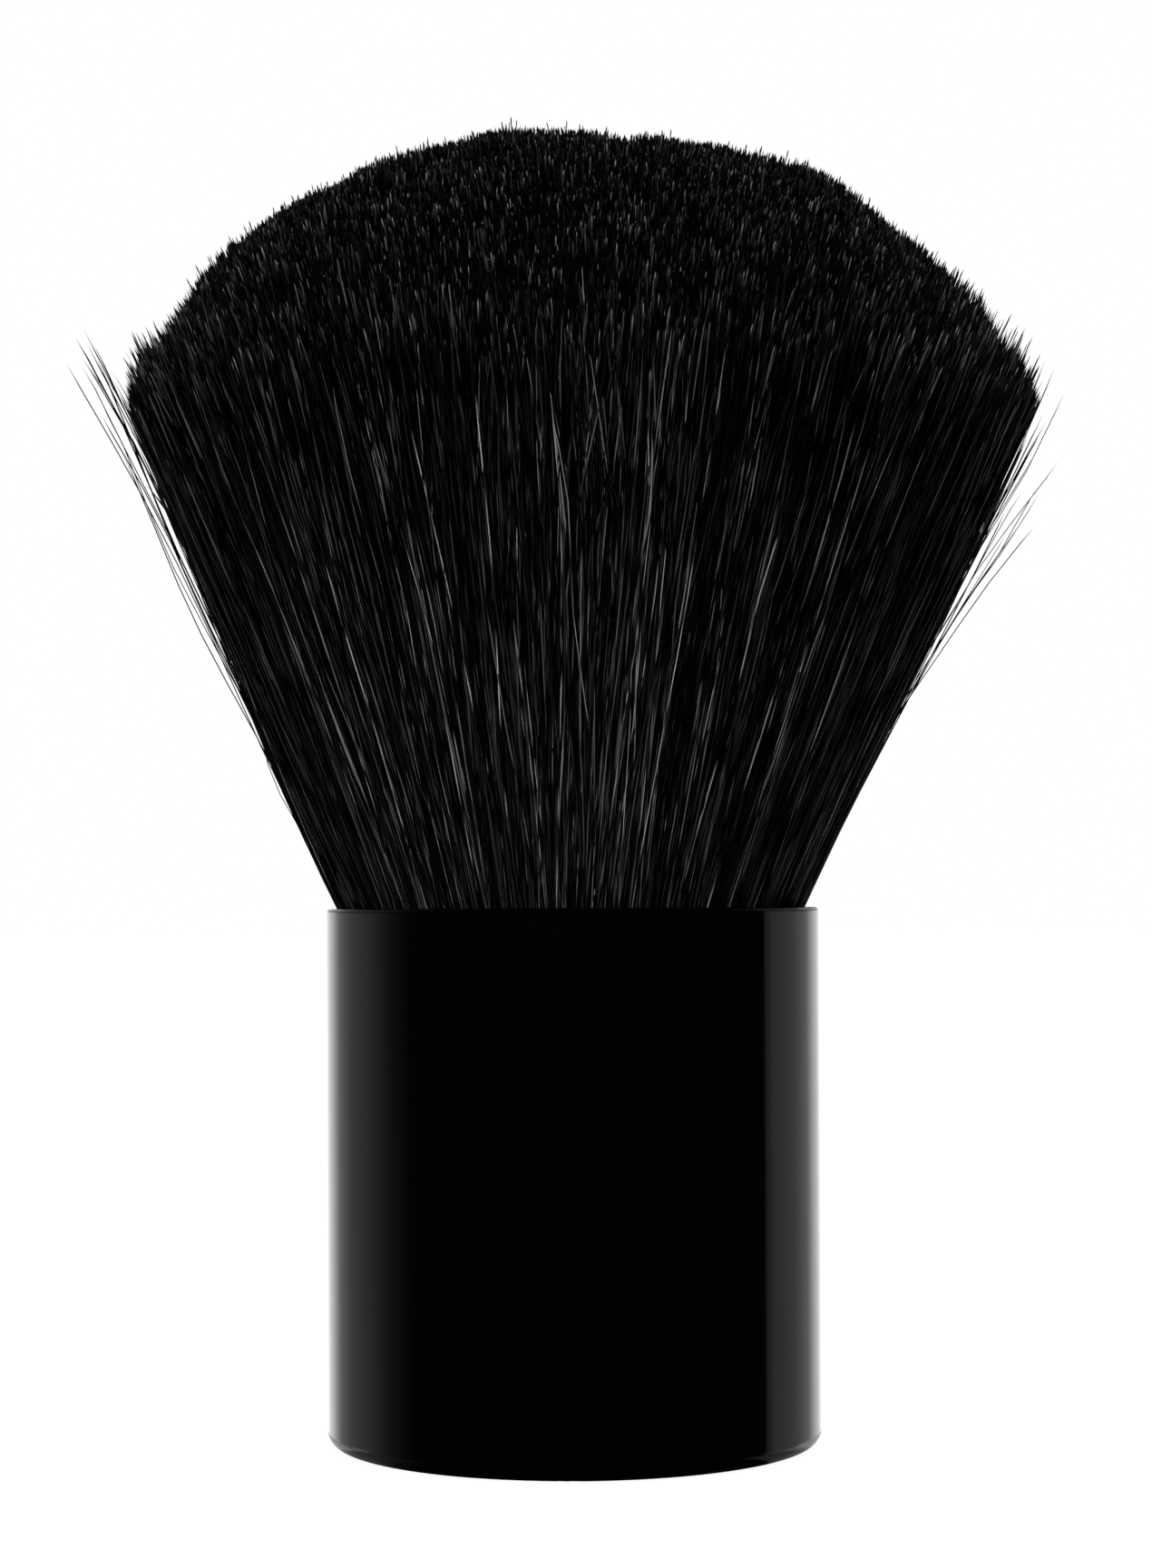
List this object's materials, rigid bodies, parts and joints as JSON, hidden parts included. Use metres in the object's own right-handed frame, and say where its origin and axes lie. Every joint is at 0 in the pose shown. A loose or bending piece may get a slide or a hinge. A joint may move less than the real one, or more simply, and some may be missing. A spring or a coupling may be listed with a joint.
{
  "type": "kabuki makeup brush",
  "caption": "Short kabuki makeup brush: a wide domed tuft of dark hair fans out of a gloss black cylindrical handle and stands on its foot, for brushing on powder.",
  "frame": {"origin": "centre of the handle's foot, on the plane that the brush stands on", "axes": "+Z along the handle's axis, from the foot up through the hair; the shape is turned, so +X and +Y are free"},
  "size_m": [0.0552, 0.0552, 0.0787],
  "materials": {
    "black_lacquer": "gloss",
    "plate_abs": "satin",
    "weight_steel": "satin",
    "core_abs": "satin",
    "cup_aluminium": "satin",
    "root_epoxy": "gloss",
    "polyester_thread": "matte",
    "dark_hair": "satin"
  },
  "bodies": {
    "root": {"handle_shell": "black_lacquer", "base_plate": "plate_abs", "counterweight": "weight_steel", "handle_core": "core_abs", "tuft_cup": "cup_aluminium", "root_resin": "root_epoxy", "binding_thread": "polyester_thread", "hair_tuft": "dark_hair"}
  },
  "joints": []
}
